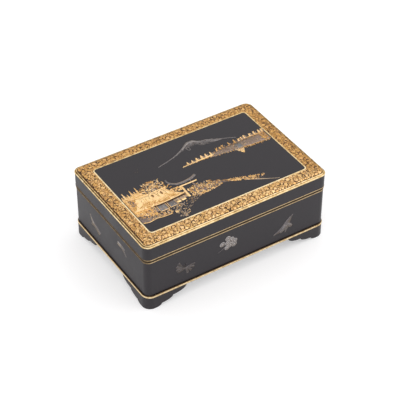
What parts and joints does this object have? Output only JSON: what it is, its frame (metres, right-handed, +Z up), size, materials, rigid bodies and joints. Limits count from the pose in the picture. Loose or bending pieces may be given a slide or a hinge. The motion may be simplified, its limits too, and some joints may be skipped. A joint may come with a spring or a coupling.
{
  "type": "inlaid iron box",
  "caption": "Small rectangular iron box with a lift-off lid, gold wire lines, a gold-edged lid and a plinth cut into bracket feet.",
  "frame": {"origin": "middle of the box in plan, on the surface it stands on", "axes": "+X along the long side, +Y towards the back long side, +Z up; the front long side faces -Y"},
  "size_m": [0.1262, 0.0852, 0.0489],
  "materials": {
    "iron": "satin blue-black patina",
    "gold": "burnished gold wire and foil",
    "silver": "dull silver foil"
  },
  "bodies": {
    "root": {"lid": "iron", "box": "iron", "plinth": "iron", "lid_edge_moulding": "gold", "panel_wire": "gold", "lid_rim_wire": "gold", "box_rim_wire": "gold", "plinth_wire": "gold"}
  },
  "joints": []
}
